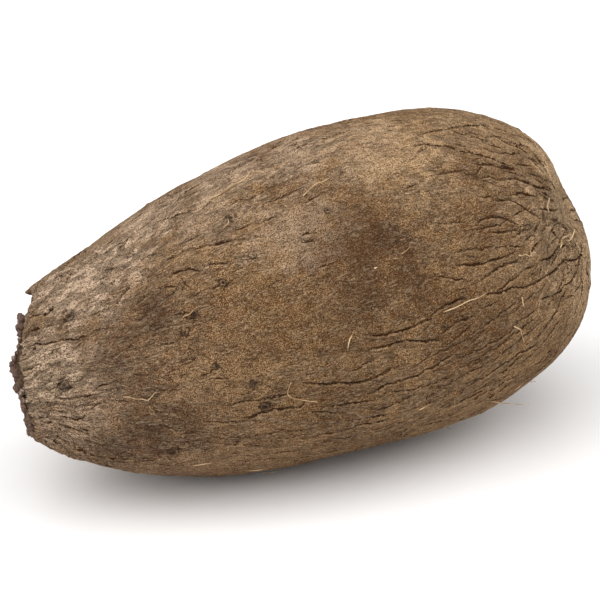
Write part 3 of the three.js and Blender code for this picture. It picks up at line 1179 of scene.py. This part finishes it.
class SkinShader(Shader):
    """The yam's skin, in layers from the broad tones to the stem scar."""

    def __init__(self):
        super().__init__("skin")
        self.on_object = self.place()
        self.grain, self.flow, _, _ = self.attribute("grain")
        _, self.offset, self.distance, self.width = self.attribute("crack")
        _, self.pale, self.dark, self.deep = self.attribute("tone")
        _, self.to_scar, self.knots, self.strength = self.attribute("scar")
        _, self.relief, self.crinkled, self.rim = self.attribute("relief")
        self.broad = self.noise(self.on_object, (38, 38), 3, 0.6)
        self.fibres = self.noise(self.grain, (2.4, 0.7), 2, 0.6, 0.3)
        self.wobble = self.minus(self.noise(self.on_object, (1.2, 1.2), 3, 0.6), 0.5)
        self.height = 0.0

    def lift(self, shape, amount):
        self.height = self.plus(self.height, self.times(shape, amount))

    def tone(self):
        """Broad and patchy, greyer towards the stem, and the listed patches."""
        patchy = self.noise(self.on_object, (9, 9), 4, 0.6, 0.3)
        self.colour = self.mix(self.ease(self.broad, 0.38, 0.62), srgb(105, 76, 40), srgb(134, 104, 67))
        self.tint(self.ease(self.flow, 140, 50, 0, 0.75), srgb(126, 101, 76))
        self.tint(self.ease(patchy, 0.5, 0.72, 0, 0.3), srgb(84, 57, 30))
        self.tint(self.ease(patchy, 0.46, 0.28, 0, 0.25), srgb(150, 121, 88))
        self.tint(self.times(self.deep, 0.75), srgb(66, 42, 20))
        # The pale patches' colour: pale skin, and towards the blunt end also painted light on the right
        # rim and round the pucker.
        pale_skin_and_painted_light = self.mix(self.ease(self.flow, 150, 210), srgb(204, 179, 152), srgb(214, 181, 139))
        self.tint(self.times(self.pale, 0.8), pale_skin_and_painted_light)
        self.tint(self.times(self.dark, 0.8), srgb(60, 42, 26))

    def fleck(self):
        """Flecks, fibres that are stronger where the skin is crinkled, and fine specks."""
        flecks = self.noise(self.grain, (4.6, 1.7), 3, 0.6, 0.3)
        grit = self.noise(self.grain, (1.2, 0.55), 1, 0.6)
        specks = self.noise(self.on_object, (0.32, 0.32), 0)
        amount = self.ease(self.crinkled, 0, 0.8, 0.36, 1.0)
        light = self.plus(self.times(self.minus(self.fibres, 0.5), amount, 3.0), 1.0)
        light = self.times(light, self.ease(flecks, 0.3, 0.7, 0.92, 1.08),
                           self.ease(grit, 0.3, 0.7, 0.72, 1.28),
                           self.ease(specks, 0.25, 0.75, 0.22, 1.78))
        stained = self.maths("MAXIMUM", self.deep, self.dark)
        self.tint(self.times(self.ease(light, 1, 2, 0, 0.27), self.ease(stained, 0, 1, 1, 0.5)),
                  srgb(232, 200, 166))
        self.tint(self.maths("MULTIPLY", self.minus(1.0, light), 1.25, clamp=True), srgb(62, 26, 2))
        self.lift(self.times(self.fibres, amount), 0.7)
        self.lift(grit, 0.35)
        self.lift(specks, 0.25)
        self.lift(flecks, 0.5)

    def thin_lines(self, stretch, width, shown):
        """Thin meandering valleys, broken here and there, and the crests along one side: painted shade
        in the valleys and painted highlight on the crests.
        """
        side = self.minus(self.noise(self.grain, stretch, 3, 0.6, 1.0), 0.5)
        whole = self.ease(self.noise(self.grain, (7, 4), 2, 0.6), 0.42, 0.56)
        shaded_valley = self.times(self.ease(side, -0.045 * width, -0.02 * width),
                            self.ease(side, 0.02 * width, -0.01 * width), shown, whole)
        lit_crest = self.times(self.ease(side, 0.01 * width, 0.03 * width),
                           self.ease(side, 0.09 * width, 0.05 * width), shown, whole)
        return shaded_valley, lit_crest

    def crinkle(self):
        """Crinkles, coarse where the skin is crinkled and fine everywhere."""
        coarse = self.thin_lines((5.5, 2.0), 1.0, self.ease(self.crinkled, 0.15, 0.85))
        fine = self.thin_lines((3.4, 1.2), 1.8, self.ease(self.crinkled, 0, 0.6, 0.55, 1))
        shaded_valley, lit_crest = (self.maths("MAXIMUM", *pair) for pair in zip(coarse, fine))
        # Painted shade in the crinkles' valleys, and painted highlight on their crests.
        self.tint(self.times(shaded_valley, 0.48), srgb(76, 44, 18))
        self.tint(self.times(lit_crest, 0.35), srgb(200, 172, 138))
        # Painted shade where the relief is low.
        self.tint(self.ease(self.relief, -0.2, -1.6, 0, 0.3), srgb(68, 40, 18))
        self.lift(shaded_valley, -0.5)
        self.lift(lit_crest, 0.25)

    def crack(self):
        """Cracks: a thin dark line with a painted highlight on the lip under it."""
        line = self.plus(self.offset, self.times(self.wobble, 2.3))
        off_line = self.minus(self.maths("ABSOLUTE", line), self.times(self.width, 1.2))
        in_reach = self.ease(self.distance, 1.4, 0.8)
        core = self.times(self.ease(off_line, 0.12, -0.06), in_reach)
        lip = self.times(self.ease(line, -0.2, -0.45), self.ease(line, -1.3, -0.7), in_reach)
        # Painted highlight on the lip under the crack, where light from above would fall.
        self.tint(self.times(lip, self.ease(self.width, 0.05, 0.25), 0.3), srgb(178, 146, 110))
        faint = self.ease(self.noise(self.on_object, (6, 6), 2), 0.38, 0.56, 0.6, 1.0)
        self.tint(self.times(core, faint), srgb(62, 36, 14))
        self.lift(core, -0.7)

    def scar(self):
        """The pucker's creases, with painted shade in them, and the root scars: a pale ring round a
        pit, in a dark moat.
        """
        # Painted shade in the pucker's creases.
        self.tint(self.ease(self.knots, 0.35, 0.9, 0, 0.2), srgb(62, 42, 26))
        out = self.plus(self.to_scar, self.times(self.wobble, 0.9))
        broken = self.ease(self.noise(self.on_object, (2.4, 2.4), 2), 0.36, 0.5)
        moat = self.times(self.ease(out, 0.75, 1.15), self.ease(out, 1.7, 1.15), self.strength, broken)
        ring = self.times(self.ease(out, 0.3, 0.6), self.ease(out, 1.0, 0.7), self.strength)
        size = self.ease(self.noise(self.on_object, (11, 11), 1), 0.46, 0.54, 0.5, 1.1)
        pit = self.times(self.ease(self.maths("DIVIDE", out, size), 1.0, 0.5), self.strength)
        self.tint(moat, srgb(52, 37, 26))
        self.tint(self.times(ring, 0.35), srgb(156, 128, 96))
        self.tint(self.times(pit, 0.9), srgb(46, 32, 23))
        self.lift(pit, -0.5)

    def tear(self):
        """The stem scar's face: dried tissue inside a dark seam."""
        crumbs = self.noise(self.on_object, (1.6, 1.6), 4, 0.65)
        dry = self.mix(self.ease(self.broad, 0.4, 0.6), srgb(122, 95, 70), srgb(158, 133, 108))
        tissue = self.mix(self.ease(crumbs, 0.3, 0.7), srgb(78, 55, 38), dry)
        torn = self.plus(self.rim, self.times(self.minus(crumbs, 0.5), 3))
        self.tint(self.ease(torn, 0.4, -0.6), tissue)
        seam = self.times(self.ease(torn, 0.3, -0.4), self.ease(torn, -2.0, -1.0))
        self.tint(self.times(seam, 0.55), srgb(50, 35, 26))
        self.lift(crumbs, self.ease(self.rim, 0.6, -0.8))


def skin_material():
    s = SkinShader()
    for layer in (s.tone, s.fleck, s.crinkle, s.crack, s.scar, s.tear):
        layer()
    s.coat(s.colour, s.ease(s.fibres, 0.2, 0.8, 0.78, 0.95), 0.15)
    s.bump(s.height, 0.9, 0.9)
    return s.material


def hair_material():
    s = Shader("root_hair")
    fade = s.ease(s.noise(s.place(), (5, 5), 2), 0.35, 0.65)
    s.coat(s.mix(fade, srgb(146, 112, 76), srgb(214, 184, 142)), 0.7, 0.3)
    return s.material


def scab_material():
    s = Shader("scab")
    crust = s.noise(s.place(), (1.1, 1.1), 4, 0.6)
    patchy = s.ease(s.noise(s.place(), (6, 6), 1), 0.5, 0.62)
    pale = s.mix(patchy, srgb(92, 68, 54), srgb(150, 130, 114))
    s.coat(s.mix(s.ease(crust, 0.35, 0.65), srgb(64, 42, 32), pale), 0.6, 0.35)
    s.bump(crust, 0.6, 0.8)
    return s.material


# ---- The studio ----

def direction(azimuth, elevation):
    """Towards a place in the studio: azimuth 0 is on the near side (-Y), and 90 is at +X."""
    turn, lift = math.radians(azimuth), math.radians(elevation)
    return Vector((math.sin(turn) * math.cos(lift), -math.cos(turn) * math.cos(lift), math.sin(lift)))


def build_camera():
    data = bpy.data.cameras.new("camera")
    data.lens = CAMERA_LENS
    camera = add_object("camera", data)
    back = direction(CAMERA_AZIMUTH, CAMERA_ELEVATION)
    camera.location = Vector(CAMERA_AIM) + back * CAMERA_DISTANCE
    camera.rotation_euler = (-back).to_track_quat("-Z", "Y").to_euler()
    bpy.context.scene.camera = camera


def build_sun(name, azimuth, elevation, strength, spread):
    data = bpy.data.lights.new(name, "SUN")
    data.energy = strength
    data.angle = math.radians(spread)
    lamp = add_object(name, data)
    lamp.rotation_euler = direction(azimuth, elevation).to_track_quat("Z", "Y").to_euler()


def build_world():
    """A plain soft light, which the camera and reflections see as white."""
    world = bpy.data.worlds.new("studio")
    world.use_nodes = True
    n = Nodes(world.node_tree)
    path = n.tree.nodes.new("ShaderNodeLightPath").outputs
    seen = n.maths("MAXIMUM", path["Is Camera Ray"], path["Is Glossy Ray"])
    seen = n.maths("MAXIMUM", seen, path["Is Transmission Ray"])
    background = n.tree.nodes["Background"]
    n.feed(background.inputs["Color"], (1, 1, 1, 1))
    n.feed(background.inputs["Strength"], n.node("MapRange", {"Value": seen, "To Min": WORLD_LIGHT}))
    bpy.context.scene.world = world


def build_floor():
    s = Shader("floor")
    s.coat(FLOOR_COLOUR, 1.0, 0.0)
    seen = s.tree.nodes.new("ShaderNodeLightPath").outputs["Is Camera Ray"]
    s.feed(s.surface.inputs["Emission Color"], (1, 1, 1, 1))
    s.feed(s.surface.inputs["Emission Strength"], s.times(seen, FLOOR_GLOW))
    mesh = bpy.data.meshes.new("floor")
    corners = [(x * FLOOR_REACH, y * FLOOR_REACH, 0) for x, y in ((-1, -1), (1, -1), (1, 1), (-1, 1))]
    mesh.from_pydata(corners, [], [(0, 1, 2, 3)])
    mesh.materials.append(s.material)
    floor = add_object("floor", mesh)
    floor.location.z = -FLOOR_GAP * MM


form = Form(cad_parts["yam"])
cracks = grow_cracks(form)
scars = place_root_scars(form, cracks.random)
tuber = tuber_piece(form, cracks, scars, skin_material())
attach(tuber, "root")
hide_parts("yam")
scabs = scabs_piece(form, scab_material())
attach(scabs, "root")
hairs = root_hairs_piece(form, hair_material())
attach(hairs, "root")

build_camera()
build_world()
for lamp in LAMPS:
    build_sun(*lamp)
build_floor()
bpy.context.scene.view_settings.view_transform = "Standard"
